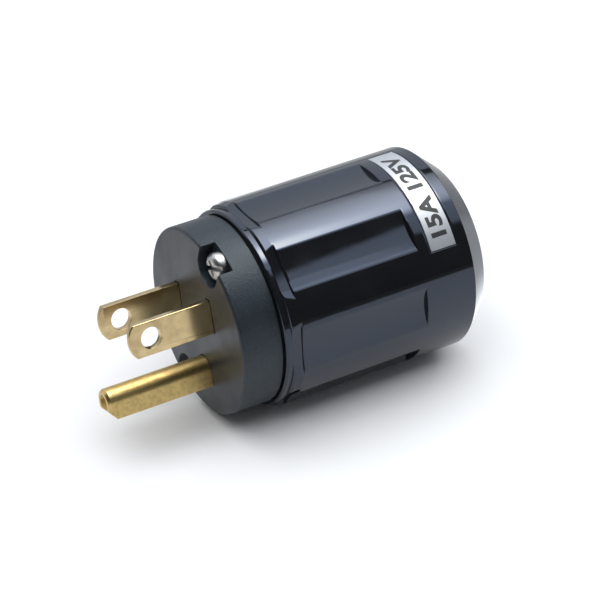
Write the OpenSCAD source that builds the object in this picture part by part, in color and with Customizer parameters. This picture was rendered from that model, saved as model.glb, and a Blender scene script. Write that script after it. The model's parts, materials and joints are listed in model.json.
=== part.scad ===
// Three-contact mains plug, rewireable, lying on one of its grip flats.
// X runs from the mating face (x = 0) back to the cable entry, Z is up, and the blades point along -X.
// Sizes are millimetres. Angles round the body are counted from the top towards -Y.

/* [Housing] */
// Radius of the round housing
housing_r = 19.4; // [19:0.1:24]
// Length of the housing from the seam with the carrier to the rear face
housing_len = 43.6; // [40:0.1:60]
// Wall between the round outside and the front cavity
wall = 3; // [2.4:0.1:3.4]
// Step from the front cavity in to the wiring space, which holds the wiring block back
shoulder_step = 1.3; // [1:0.1:1.4]
// Length of the rear chamfer along the axis
chamfer_len = 4.4; // [2:0.1:5.5]
// Depth of the rear chamfer towards the axis
chamfer_depth = 4; // [2:0.1:6]
// Rounding where the rear chamfer meets the rear face
rear_round = 0.8; // [0.2:0.1:1.5]
// Thickness of the rear wall round the cable entry
rear_wall = 5.2; // [4:0.1:8]
// Radius of the cable entry
entry_r = 8.5; // [7.5:0.1:9.5]
// Rounding of the cable entry at the rear face
entry_round = 1; // [0.4:0.1:1.5]

/* [Front band and grip flats] */
// Number of grip flats
flat_count = 8; // [6:2:12]
// Depth of a grip flat below the round, at its middle
flat_depth = 0.8; // [0.6:0.02:0.9]
// Radius of the shallow hollow across a grip flat
flat_hollow_r = 22; // [20:1:40]
// Distance of the grip flats from the seam
flat_start = 3.3; // [2.8:0.1:5]
// Plain round band between the grip flats and the rear chamfer
rear_band = 10.25; // [8:0.05:12]
// Depth of a facet in the front band below the round, at its middle
facet_depth = 1.1; // [1.02:0.02:1.3]
// Radius of the shallow hollow across a facet
facet_hollow_r = 38; // [30:1:60]
// Fall of the tapered front band down to the lip
band_drop = 0.3; // [0.2:0.02:0.36]
// Plain round between the tapered band and the grip flats
band_land = 0.2; // [0.1:0.05:0.4]
// Depth of the front lip below the round
lip_drop = 0.8; // [0.75:0.05:0.95]
// Length of the front lip
lip_len = 1.3; // [1:0.1:2.2]
// Rounding of the lip and of the shoulder behind it
lip_round = 0.45; // [0.3:0.05:0.5]

/* [Nameplate] */
// Width of the nameplate along the axis
plate_w = 5.2; // [3:0.1:6.5]
// Arc of the nameplate round the housing, in degrees
plate_arc = 75; // [40:1:90]
// Thickness of the nameplate, and depth of its pocket
plate_t = 0.3; // [0.2:0.05:0.5]
// Gap round the nameplate in its pocket
plate_gap = 0.15; // [0.05:0.05:0.3]

/* [Carrier] */
// Step from the housing's round in to the carrier's round
carrier_step = 1.6; // [1.4:0.1:2.2]
// Length of the carrier in front of the seam
carrier_len = 8.2; // [6:0.1:12]
// Rounding of the carrier at the mating face
carrier_round = 0.5; // [0.2:0.1:1]
// Length of the spigot that enters the housing
spigot_len = 2; // [1:0.1:3]
// Play of the spigot in the housing
spigot_clear = 0.15; // [0.05:0.05:0.3]
// Width of the open seam between carrier and housing
seam_gap = 0.3; // [0.1:0.05:0.5]
// Depth of the open seam
seam_depth = 0.5; // [0.2:0.05:0.6]
// Half the width of an open screw notch
notch_r = 3.45; // [3.2:0.05:3.8]
// Depth of a screw notch from the mating face
notch_depth = 3.05; // [2.6:0.05:4.5]

/* [Blades] */
// Distance between the middles of the two blades
blade_gap = 12.7; // [12:0.1:13.5]
// Width of a blade
blade_w = 6.35; // [5.5:0.05:7]
// Thickness of a blade
blade_t = 1.5; // [1.2:0.05:1.8]
// Length of a blade in front of the mating face
blade_len = 16.4; // [14:0.1:20]
// Height of the blades' middle above the axis
blade_rise = 2.87; // [2:0.05:3.4]
// Fall of a blade's rounded tip from its middle to its corners
tip_fall = 1.2; // [0.6:0.1:2]
// Length of the bevel at a blade's tip
tip_bevel = 1.2; // [0.5:0.1:2]
// Thickness left at the very tip of a blade
tip_t = 0.8; // [0.5:0.05:1]
// Diameter of the hole in a blade
blade_hole_d = 4; // [3:0.1:4.5]
// Distance of the blade hole from the mating face
blade_hole_x = 12.1; // [10.5:0.1:12.8]

/* [Ground pin] */
// Distance from the blades' middle down to the middle of the pin's round back
pin_drop = 11.9; // [11.2:0.1:12.2]
// Width of the folded pin
pin_w = 4.75; // [4.2:0.05:5.2]
// Length of the pin's straight legs below its round back
pin_leg = 3; // [1.8:0.1:3.2]
// Length of the pin in front of the mating face
pin_len = 20.6; // [17:0.1:24]
// Thickness of the folded sheet
sheet_t = 1; // [0.8:0.05:1.2]
// Length of the taper at the pin's tip, on its round back
pin_taper = 1.2; // [0.6:0.1:2]
// Radius that the taper leaves at the very tip
pin_tip_r = 1.5; // [1.3:0.05:2]

/* [Terminals] */
// Length of a contact strip in the wiring block
strip_len = 12; // [11.8:0.1:13]
// Width of the blades' contact strips
strip_w = 8; // [7.2:0.1:8.4]
// Width of the ground contact strip
ground_strip_w = 7; // [6.2:0.1:7.2]
// Gap that takes the wire, between contact strip and clamp plate
wire_gap = 2.6; // [1.8:0.1:2.8]
// Thickness of a clamp plate and of its heel
clamp_t = 1.2; // [0.8:0.05:1.3]
// Length of a clamp plate
clamp_len = 10; // [8:0.1:10.2]
// Distance of a clamp plate from the front of the wiring block
clamp_inset = 1.2; // [0.6:0.1:1.4]
// Distance of a terminal screw from the front of the wiring block
terminal_screw_pos = 4.8; // [4.6:0.1:6]
// Radius of a terminal screw's shank
terminal_screw_r = 1.75; // [1.5:0.05:1.9]
// Radius of a terminal screw's head
terminal_head_r = 3; // [2.6:0.05:3.1]
// Height of a terminal screw's head
terminal_head_h = 2.2; // [1.6:0.1:2.4]
// How far a terminal screw stands out behind its contact strip
terminal_tip = 1.4; // [0.5:0.1:1.8]

/* [Wiring block] */
// Length of the wiring block
block_len = 15; // [14.5:0.1:17]
// Play of the wiring block in the housing
block_clear = 0.3; // [0.1:0.05:0.5]
// Radius of a wire entry in the back of the wiring block
wire_hole_r = 1.6; // [1.2:0.1:1.9]
// Room round the pieces in the wiring block's chambers
chamber_clear = 0.2; // [0.1:0.05:0.3]

/* [Assembly screws] */
// Distance of the screws from the wall of the front cavity
screw_inset = 1.4; // [1.2:0.1:1.7]
// Radius of an assembly screw's shank
screw_r = 1.75; // [1.4:0.05:1.9]
// Length of an assembly screw under its head
screw_len = 14.5; // [11.5:0.1:15.5]
// Radius of an assembly screw's head
head_r = 2.6; // [2.4:0.05:3.1]
// Height of an assembly screw's head
head_h = 2.2; // [1.6:0.1:2.5]
// Radius of a threaded insert
insert_r = 2.4; // [2.2:0.05:2.6]
// Length of a threaded insert
insert_len = 8; // [6:0.1:10]
// Radius of the boss that holds an insert
boss_r = 3.3; // [3.1:0.05:3.5]
// How far a boss runs on past the shoulder, into the wiring space
boss_over = 1; // [0.5:0.1:2]
// Spare depth of a screw's hole past the end of the screw
screw_room = 1; // [0.5:0.1:2]
// Room round a screw's shank in a plain hole
hole_clear = 0.25; // [0.15:0.05:0.4]
// Room round a screw's shank in its thread
thread_clear = 0.05; // [0.02:0.01:0.1]

/* [Cord clamp] */
// Length of a cord jaw along the axis
jaw_len = 8.8; // [7:0.1:11]
// Width of a cord jaw
jaw_w = 23.8; // [23:0.1:24]
// Height of a cord jaw from the split to its back
jaw_h = 7.1; // [6.4:0.1:7.2]
// Gap between the two jaws with no cord in place
jaw_gap = 3; // [2:0.1:3.2]
// Room round the jaws in their bay
jaw_clear = 0.2; // [0.1:0.05:0.25]
// Radius of the cord groove
groove_r = 6; // [5:0.1:6.3]
// Height of a grip tooth in the cord groove
tooth_h = 0.7; // [0.4:0.1:1.2]
// Number of grip teeth in the cord groove
tooth_count = 3; // [2:1:4]
// Distance of a cord screw from the axis
cord_screw_off = 8.6; // [8.4:0.1:8.8]
// Radius of a cord screw's shank
cord_screw_r = 1.25; // [1:0.05:1.4]
// Radius of a cord screw's head
cord_head_r = 2.4; // [2.1:0.05:2.6]
// Height of a cord screw's head
cord_head_h = 1.8; // [1.4:0.1:2]
// Wall under the head of a cord screw
cord_seat = 4.4; // [3.4:0.1:4.8]
// Width of a cord nut across its flats
nut_w = 5; // [4.4:0.1:5.2]
// Height of a cord nut
nut_h = 2; // [1.6:0.1:2.4]

/* [Rest] */
// Turn of the contacts away from the top grip flat, in degrees
contact_roll = 12; // [4:1:16]

/* [Hidden] */
$fn = 96;

// Spare length of a cutter past the face that it cuts
past = 1;

// Radii, from the housing inwards
lip_r = housing_r - lip_drop;
band_r = housing_r - band_drop;
cavity_r = housing_r - wall;
wiring_r = cavity_r - shoulder_step;
carrier_r = housing_r - carrier_step;
chamfer_r = housing_r - chamfer_depth;
screw_circle = cavity_r - screw_inset;

// Places along the axis, from the mating face back
spigot_x = carrier_len + spigot_len;
boss_x = spigot_x + chamber_clear;
block_end = spigot_x + block_len;
shoulder_x = block_end + chamber_clear / 2;
rear_x = carrier_len + housing_len;
chamfer_x = rear_x - chamfer_len;
lip_x = carrier_len + lip_len;
flat_x0 = carrier_len + flat_start;
flat_x1 = chamfer_x - rear_band;
plate_x = (flat_x1 + chamfer_x - plate_w) / 2;
bay_x1 = rear_x - rear_wall;
bay_x0 = bay_x1 - jaw_len - 2 * jaw_clear;
jaw_x0 = bay_x0 + jaw_clear;
cord_x = jaw_x0 + jaw_len / 2;

// Angles round the body: the screws and the nameplate lie on the lands between the grip flats
flat_pitch = 360 / flat_count;
land_angle = flat_pitch / 2;

// Contacts, in the frame of the contacts
blade_face = (blade_gap + blade_t) / 2;
pin_z = blade_rise - pin_drop;
ground_face = pin_z + pin_w / 2 - sheet_t;
// Stretch of the ground pin's channel that carries on past its strip's front edge
pin_reach = 1;
// Room round the contacts in the carrier's slots
slot_clear = 0.12;

// Heights along Y in the cord clamp
jaw_back = jaw_gap / 2 + jaw_h;
cord_head_seat = jaw_back + cord_seat;

// Slot and cross recess in a screw head
recess_w = 0.8;
recess_depth = 1;
recess_turn = -47;

plastic_matte = "#2b2d30";
plastic_gloss = "#101114";
brass = "#c9a14a";
nickel = "#c9c9c6";
silver = "#cfd3d8";
ground_green = "#5f8a4e";

function unit(v) = v / norm(v);

// Corner p between a and b, cut to an arc of radius r
function fillet(a, p, b, r, steps = 6) =
    let (u = unit(a - p), w = unit(b - p), half = acos(u * w) / 2)
    let (centre = p + unit(u + w) * r / sin(half), start = p + u * r / tan(half), end = p + w * r / tan(half))
    r == 0 ? [p] : [for (i = [0:steps]) centre + r * unit(start + (end - start) * i / steps - centre)];

// Closed outline from corners [x, y, rounding]
function rounded(path) = [
    for (i = [0:len(path) - 1])
        let (last = len(path), a = path[(i + last - 1) % last], p = path[i], b = path[(i + 1) % last])
        each fillet([a.x, a.y], [p.x, p.y], [b.x, b.y], p.z)
];

// Turns a profile (radius, place along X) about the X axis, starting from the top
module lathe(turn = 360) {
    rotate(180, [1, 0, 1]) rotate_extrude(angle = turn) children();
}

// Rod along X
module rod(x0, x1, r) {
    translate([x0, 0, 0]) rotate([0, 90, 0]) cylinder(h = x1 - x0, r = r);
}

// Bar along X, centred on the axis
module bar(x0, x1, w, h) {
    translate([x0, -w / 2, -h / 2]) cube([x1 - x0, w, h]);
}

// Frame of the contacts: its Z runs from the ground pin up to the blades
module contact_frame() {
    rotate([-contact_roll, 0, 0]) children();
}

// Axis of one of the two assembly screws, on opposite lands
module screw_place(turn) {
    rotate([land_angle + turn, 0, 0]) translate([0, 0, screw_circle]) children();
}

// Frames of the three terminals: X runs back, Z leaves the contact strip's outer face
module live_terminal() {
    contact_frame() translate([spigot_x, blade_face, blade_rise]) rotate([-90, 0, 0]) children();
}

module neutral_terminal() {
    contact_frame() mirror([0, 1, 0])
        translate([spigot_x, blade_face, blade_rise]) rotate([-90, 0, 0]) children();
}

module ground_terminal() {
    contact_frame() translate([spigot_x, 0, ground_face]) rotate([180, 0, 0]) children();
}

// Axis of a cord screw: Z runs along Y to the screw's head
module cord_screw_place(side) {
    translate([cord_x, 0, side * cord_screw_off]) rotate([-90, 0, 0]) children();
}

// Cutter for a slot in a screw head: half its length and the height of the head
module recess_arm(reach, cap_h) {
    translate([-reach, -recess_w / 2, cap_h - recess_depth]) cube([2 * reach, recess_w, recess_depth + past]);
}

// Pan-head screw along Z: the seat of its head is at z = 0 and the shank runs down
module pan_screw(shank_r, shank_len, cap_r, cap_h) {
    crown = cap_h / 2;
    difference() {
        union() {
            translate([0, 0, -shank_len]) cylinder(h = shank_len + crown, r = shank_r);
            rotate_extrude() polygon(rounded([[0, 0, 0], [cap_r, 0, 0], [cap_r, cap_h, crown], [0, cap_h, 0]]));
        }
        rotate(recess_turn) {
            recess_arm(cap_r + past, cap_h);
            rotate(90) recess_arm(cap_r - crown, cap_h);
        }
    }
}

// Ground pin's outline across the pin: the round back and its two legs, grown all round and at the foot
module pin_outline(grow, foot) {
    circle(r = pin_w / 2 + grow);
    translate([-pin_w / 2 - grow, -pin_leg - foot]) square([pin_w + 2 * grow, pin_leg + foot]);
}

// Bar of that outline from x0 to x1, in the frame of the contacts
module pin_bar(x0, x1, grow, foot) {
    translate([x0, 0, pin_z]) rotate([90, 0, 90]) linear_extrude(x1 - x0) pin_outline(grow, foot);
}

// Blade's outline on its flat side: x along the blade, y across it
module blade_outline() {
    tip_r = (pow(blade_w / 2, 2) + pow(tip_fall, 2)) / (2 * tip_fall);
    translate([tip_fall - blade_len, -blade_w / 2]) square([blade_len - tip_fall + spigot_x, blade_w]);
    intersection() {
        translate([tip_r - blade_len, 0]) circle(tip_r);
        translate([-blade_len, -blade_w / 2]) square([2 * tip_fall, blade_w]);
    }
}

// Blade seen on its edge, with the bevel of its tip: x along the blade, y through it
module blade_edge() {
    bevel_x = tip_bevel - blade_len;
    polygon([
        [-blade_len, -tip_t / 2], [bevel_x, -blade_t / 2], [spigot_x, -blade_t / 2],
        [spigot_x, blade_t / 2], [bevel_x, blade_t / 2], [-blade_len, tip_t / 2]
    ]);
}

// Contact strip with its threaded hole, in the frame of a terminal
module contact_strip(w, t) {
    difference() {
        translate([0, -w / 2, -t]) cube([strip_len, w, t]);
        translate([terminal_screw_pos, 0, -t - past])
            cylinder(h = t + 2 * past, r = terminal_screw_r + thread_clear);
    }
}

// Blade and its contact strip, on the +Y side of the frame of the contacts
module blade() {
    difference() {
        translate([0, blade_gap / 2, blade_rise]) intersection() {
            rotate([90, 0, 0]) linear_extrude(2 * blade_t, center = true) blade_outline();
            linear_extrude(2 * blade_w, center = true) blade_edge();
        }
        translate([-blade_hole_x, blade_gap / 2, blade_rise])
            rotate([90, 0, 0]) cylinder(h = 2 * blade_t, d = blade_hole_d, center = true);
    }
    translate([spigot_x, blade_face, blade_rise]) rotate([-90, 0, 0]) contact_strip(strip_w, blade_t);
}

// Clamp plate with a heel at its front edge, in the frame of a terminal
module clamp_plate(w) {
    difference() {
        union() {
            translate([clamp_inset, -w / 2, wire_gap]) cube([clamp_len, w, clamp_t]);
            translate([clamp_inset, -w / 2, 0]) cube([clamp_t, w, wire_gap + clamp_t]);
        }
        translate([terminal_screw_pos, 0, wire_gap - past])
            cylinder(h = clamp_t + 2 * past, r = terminal_screw_r + hole_clear);
    }
}

// Terminal screw on its clamp plate, in the frame of a terminal
module terminal_screw(strip_t) {
    lid = wire_gap + clamp_t;
    translate([terminal_screw_pos, 0, lid])
        pan_screw(terminal_screw_r, lid + strip_t + terminal_tip, terminal_head_r, terminal_head_h);
}

// Room for one terminal in the wiring block, in the frame of a terminal
module terminal_chamber(w, t) {
    lid = wire_gap + clamp_t + chamber_clear;
    floor_z = -t - chamber_clear;
    translate([-past, -w / 2 - chamber_clear, floor_z])
        cube([past + strip_len + chamber_clear, w + 2 * chamber_clear, lid - floor_z]);
    translate([terminal_screw_pos, 0, wire_gap]) cylinder(h = housing_r, r = terminal_head_r + hole_clear);
    translate([terminal_screw_pos, 0, floor_z - terminal_tip])
        cylinder(h = terminal_tip + t, r = terminal_screw_r + hole_clear);
    translate([0, 0, wire_gap / 2]) rod(strip_len, block_len + past, wire_hole_r);
}

// Matte moulding that carries the contacts at the mating face
module front_carrier() {
    color(plastic_matte) difference() {
        lathe() polygon(rounded([
            [0, 0, 0], [carrier_r, 0, carrier_round], [carrier_r, carrier_len - seam_gap, 0],
            [carrier_r - seam_depth, carrier_len - seam_gap, 0], [carrier_r - seam_depth, carrier_len, 0],
            [cavity_r - spigot_clear, carrier_len, 0], [cavity_r - spigot_clear, spigot_x, 0], [0, spigot_x, 0]
        ]));
        contact_frame() {
            for (side = [-1, 1])
                translate([0, side * blade_gap / 2, blade_rise])
                    bar(-past, spigot_x + past, blade_t + 2 * slot_clear, blade_w + 2 * slot_clear);
            pin_bar(-past, spigot_x + past, slot_clear, slot_clear);
        }
        for (turn = [0, 180]) screw_place(turn) {
            rod(-past, notch_depth, notch_r);
            translate([-past, -notch_r, 0]) cube([notch_depth + past, 2 * notch_r, housing_r]);
            rod(0, spigot_x + past, screw_r + hole_clear);
        }
    }
}

// Insulator behind the carrier, with a chamber and a wire entry for each terminal
module wiring_block() {
    color(plastic_matte) difference() {
        rod(spigot_x, block_end, cavity_r - block_clear);
        for (turn = [0, 180]) screw_place(turn) rod(spigot_x - past, block_end + past, boss_r + block_clear);
        live_terminal() terminal_chamber(strip_w, blade_t);
        neutral_terminal() terminal_chamber(strip_w, blade_t);
        ground_terminal() terminal_chamber(ground_strip_w, sheet_t);
        contact_frame()
            pin_bar(spigot_x - past, spigot_x + pin_reach + chamber_clear, chamber_clear, chamber_clear);
    }
}

module live_blade() {
    color(brass) contact_frame() blade();
}

module neutral_blade() {
    color(brass) contact_frame() mirror([0, 1, 0]) blade();
}

// Folded U-channel pin with a tapered tip, and the flat strip at its back end
module ground_pin() {
    pin_end = spigot_x + pin_reach;
    corner_r = norm([pin_w / 2, pin_leg]);
    taper_end = pin_taper * (corner_r - pin_tip_r) / (pin_w / 2 - pin_tip_r) - pin_len;
    color(brass) {
        contact_frame() intersection() {
            difference() {
                pin_bar(-pin_len, pin_end, 0, 0);
                pin_bar(-pin_len - past, pin_end + past, -sheet_t, past);
            }
            translate([0, 0, pin_z]) lathe() polygon([
                [0, -pin_len], [pin_tip_r, -pin_len], [corner_r, taper_end],
                [corner_r + past, taper_end], [corner_r + past, pin_end + past], [0, pin_end + past]
            ]);
        }
        ground_terminal() contact_strip(ground_strip_w, sheet_t);
    }
}

module live_clamp_plate() {
    color(nickel) live_terminal() clamp_plate(strip_w);
}

module neutral_clamp_plate() {
    color(nickel) neutral_terminal() clamp_plate(strip_w);
}

module ground_clamp_plate() {
    color(nickel) ground_terminal() clamp_plate(ground_strip_w);
}

module live_terminal_screw() {
    color(brass) live_terminal() terminal_screw(blade_t);
}

module neutral_terminal_screw() {
    color(nickel) neutral_terminal() terminal_screw(blade_t);
}

module ground_terminal_screw() {
    color(ground_green) ground_terminal() terminal_screw(sheet_t);
}

// Assembly screw, from the floor of its notch back into the insert
module assembly_screw(turn) {
    color(nickel) screw_place(turn) translate([notch_depth, 0, 0]) rotate([0, -90, 0])
        pan_screw(screw_r, screw_len, head_r, head_h);
}

module upper_assembly_screw() {
    assembly_screw(0);
}

module lower_assembly_screw() {
    assembly_screw(180);
}

// Threaded insert in a boss of the housing
module insert(turn) {
    color(brass) screw_place(turn) difference() {
        rod(boss_x, boss_x + insert_len, insert_r);
        rod(boss_x - past, boss_x + insert_len + past, screw_r + thread_clear);
    }
}

module upper_insert() {
    insert(0);
}

module lower_insert() {
    insert(180);
}

// Cutter for a shallow hollow along the top of the housing: its depth at the middle and its radius
module hollow(x0, x1, depth, r) {
    translate([0, 0, housing_r - depth + r]) rod(x0, x1, r);
}

// Outside of the housing: lip, tapered band with hollowed facets, grip flats, plain band and rear chamfer
module housing_outside() {
    difference() {
        lathe() polygon(rounded([
            [0, carrier_len, 0], [lip_r, carrier_len, lip_round], [lip_r, lip_x, 0],
            [band_r, lip_x, lip_round], [housing_r, flat_x0 - band_land, 0], [housing_r, chamfer_x, 0],
            [chamfer_r, rear_x, rear_round], [0, rear_x, 0]
        ]));
        for (i = [0:flat_count - 1]) rotate([i * flat_pitch, 0, 0]) {
            hollow(lip_x, flat_x0, facet_depth, facet_hollow_r);
            hollow(flat_x0, flat_x1, flat_depth, flat_hollow_r);
        }
    }
}

// Inside of the housing in front of the clamp bay, round the two bosses
module housing_cavity() {
    difference() {
        lathe() polygon([
            [0, carrier_len - past], [cavity_r, carrier_len - past], [cavity_r, shoulder_x],
            [wiring_r, shoulder_x], [wiring_r, bay_x0], [0, bay_x0]
        ]);
        for (turn = [0, 180]) screw_place(turn) rod(boss_x, shoulder_x + boss_over, boss_r);
    }
}

// Bay of the cord jaws, cable entry and holes of the cord screws
module clamp_bay() {
    bay_half = jaw_w / 2 + jaw_clear;
    translate([bay_x0 - past, -jaw_back - jaw_clear, -bay_half])
        cube([bay_x1 - bay_x0 + past, 2 * jaw_back + jaw_clear, 2 * bay_half]);
    lathe() {
        translate([0, bay_x1 - past]) square([entry_r, rear_wall + 2 * past]);
        difference() {
            translate([0, rear_x - entry_round]) square([entry_r + entry_round, entry_round + past]);
            translate([entry_r + entry_round, rear_x - entry_round]) circle(entry_round);
        }
    }
    for (side = [-1, 1]) cord_screw_place(side) {
        cylinder(h = cord_head_seat + past, r = cord_screw_r + hole_clear);
        translate([0, 0, cord_head_seat]) cylinder(h = housing_r, r = cord_head_r + hole_clear);
    }
}

// Strip of the housing's round, from the depth of the nameplate outwards
module plate_band(grow, height) {
    arc = plate_arc + 2 * grow / housing_r * 180 / PI;
    rotate([land_angle - arc / 2, 0, 0]) lathe(arc)
        translate([housing_r - plate_t, plate_x - grow]) square([height, plate_w + 2 * grow]);
}

// Gloss moulding round the wiring block, the wiring space and the cord clamp
module housing_shell() {
    color(plastic_gloss) difference() {
        housing_outside();
        housing_cavity();
        clamp_bay();
        for (turn = [0, 180]) screw_place(turn) {
            rod(carrier_len - past, boss_x + insert_len, insert_r);
            rod(boss_x, notch_depth + screw_len + screw_room, screw_r + hole_clear);
        }
        plate_band(plate_gap, plate_t + past);
    }
}

module nameplate() {
    color(silver) plate_band(0, plate_t);
}

// Cord groove with its grip teeth
module cord_groove() {
    pitch = jaw_len / tooth_count;
    jaw_x1 = jaw_x0 + jaw_len;
    lathe() polygon([
        [0, jaw_x0 - past], [groove_r, jaw_x0 - past],
        for (i = [0:tooth_count - 1]) each [
            [groove_r, jaw_x0 + i * pitch], [groove_r - tooth_h, jaw_x0 + (i + 0.5) * pitch]
        ],
        [groove_r, jaw_x1], [groove_r, jaw_x1 + past], [0, jaw_x1 + past]
    ]);
}

// Cord jaw on the side of the screws' heads
module jaw() {
    difference() {
        translate([jaw_x0, jaw_gap / 2, -jaw_w / 2]) cube([jaw_len, jaw_h, jaw_w]);
        cord_groove();
        for (side = [-1, 1]) cord_screw_place(side)
            cylinder(h = jaw_back + past, r = cord_screw_r + hole_clear);
    }
}

// Hexagon of a cord nut, grown all round, along the last stretch of its screw
module nut_hex(grow, height) {
    translate([0, 0, nut_h - jaw_back - height]) cylinder(h = height, r = (nut_w / 2 + grow) / cos(30), $fn = 6);
}

module cord_jaw_seated() {
    color(plastic_matte) jaw();
}

module cord_jaw_drawn() {
    color(plastic_matte) difference() {
        mirror([0, 1, 0]) jaw();
        for (side = [-1, 1]) cord_screw_place(side) nut_hex(hole_clear, nut_h + past);
    }
}

// Cord screw, from its seat in the housing through both jaws to its nut
module cord_screw(side) {
    color(nickel) cord_screw_place(side) translate([0, 0, cord_head_seat])
        pan_screw(cord_screw_r, cord_head_seat + jaw_back, cord_head_r, cord_head_h);
}

module cord_screw_upper() {
    cord_screw(1);
}

module cord_screw_lower() {
    cord_screw(-1);
}

module cord_nut(side) {
    color(nickel) cord_screw_place(side) difference() {
        nut_hex(0, nut_h);
        translate([0, 0, -jaw_back - past]) cylinder(h = nut_h + 2 * past, r = cord_screw_r + thread_clear);
    }
}

module cord_nut_upper() {
    cord_nut(1);
}

module cord_nut_lower() {
    cord_nut(-1);
}

front_carrier();
wiring_block();
live_blade();
neutral_blade();
ground_pin();
live_clamp_plate();
neutral_clamp_plate();
ground_clamp_plate();
live_terminal_screw();
neutral_terminal_screw();
ground_terminal_screw();
upper_assembly_screw();
lower_assembly_screw();
upper_insert();
lower_insert();
housing_shell();
nameplate();
cord_jaw_seated();
cord_jaw_drawn();
cord_screw_upper();
cord_screw_lower();
cord_nut_upper();
cord_nut_lower();
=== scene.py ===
"""Visible pieces of a three-contact mains plug, built round its packed solids.

The frame is that of the solids, in metres: X runs from the mating face (x = 0) back to the cable
entry, Z is up, and angles round the body are counted from the top towards -Y.
"""

import json
from math import acos, asin, atan2, ceil, copysign, cos, hypot, pi, radians, sin, sqrt, tan, tau

import bmesh
import bpy
from mathutils import Matrix, Quaternion, Vector


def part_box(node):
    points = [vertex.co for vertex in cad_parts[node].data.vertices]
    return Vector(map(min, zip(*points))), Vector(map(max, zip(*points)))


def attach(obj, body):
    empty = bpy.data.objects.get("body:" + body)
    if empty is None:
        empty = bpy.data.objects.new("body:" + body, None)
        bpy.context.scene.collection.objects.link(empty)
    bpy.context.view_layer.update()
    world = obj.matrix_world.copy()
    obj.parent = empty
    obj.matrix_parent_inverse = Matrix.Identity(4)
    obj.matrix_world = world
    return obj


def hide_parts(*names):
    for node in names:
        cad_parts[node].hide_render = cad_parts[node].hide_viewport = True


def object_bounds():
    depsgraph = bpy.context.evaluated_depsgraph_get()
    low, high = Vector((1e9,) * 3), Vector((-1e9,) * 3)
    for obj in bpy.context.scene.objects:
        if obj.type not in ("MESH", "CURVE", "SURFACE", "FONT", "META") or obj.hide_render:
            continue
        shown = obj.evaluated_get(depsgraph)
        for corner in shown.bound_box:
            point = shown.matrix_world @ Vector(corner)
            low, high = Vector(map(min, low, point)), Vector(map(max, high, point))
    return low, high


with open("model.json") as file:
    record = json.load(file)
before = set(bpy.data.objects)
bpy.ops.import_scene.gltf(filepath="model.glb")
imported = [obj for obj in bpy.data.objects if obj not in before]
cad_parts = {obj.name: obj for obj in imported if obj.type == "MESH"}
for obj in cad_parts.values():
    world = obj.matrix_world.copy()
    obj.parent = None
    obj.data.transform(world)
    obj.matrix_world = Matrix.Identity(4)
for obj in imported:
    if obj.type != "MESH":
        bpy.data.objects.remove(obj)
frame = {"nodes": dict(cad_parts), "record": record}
CAD_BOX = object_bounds()

bl_info = {
    "name": "Mains Plug",
    "version": (1, 0, 0),
    "blender": (4, 5, 0),
    "location": "View3D > Sidebar > Plug",
    "description": "Builds the visible pieces of a three-contact mains plug round its solids",
    "category": "Object",
}

MM = 0.001
BODY = "root"
HAIR = 0.004 * MM  # width of a wall that stands square to the axis in the housing's grid
TOUCH = HAIR / 40  # a point this close to a cut lies on it
WELD = HAIR / 8  # points this close are one
SHARP = radians(32)  # an edge that bends more than this is rounded
CAPITAL = 0.7  # height of a capital letter as a share of its font's size
WHITE = (1.0, 1.0, 1.0)


# Settings

def length(name, description, default_mm):
    """A length, given in millimetres and kept in metres."""
    return bpy.props.FloatProperty(
        name=name, description=description, default=default_mm * MM, unit="LENGTH", precision=5)


def lengths(name, description, *default_mm):
    """Lengths along the axes, given in millimetres and kept in metres."""
    return bpy.props.FloatVectorProperty(
        name=name, description=description, default=[part * MM for part in default_mm],
        size=len(default_mm), unit="LENGTH", precision=5)


def turn(name, description, default_degrees):
    """An angle, given in degrees and kept in radians."""
    return bpy.props.FloatProperty(
        name=name, description=description, default=radians(default_degrees), subtype="ANGLE")


def share(name, description, default):
    """A share from 0 to 1."""
    return bpy.props.FloatProperty(
        name=name, description=description, default=default, min=0.0, max=1.0, subtype="FACTOR")


def level(name, description, default):
    """A radiance, where 1 is white."""
    return bpy.props.FloatProperty(
        name=name, description=description, default=default, min=0.0, subtype="UNSIGNED")


def colour(name, description, default):
    """A linear colour."""
    return bpy.props.FloatVectorProperty(
        name=name, description=description, default=default, size=3, min=0.0, max=1.0, subtype="COLOR")


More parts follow.
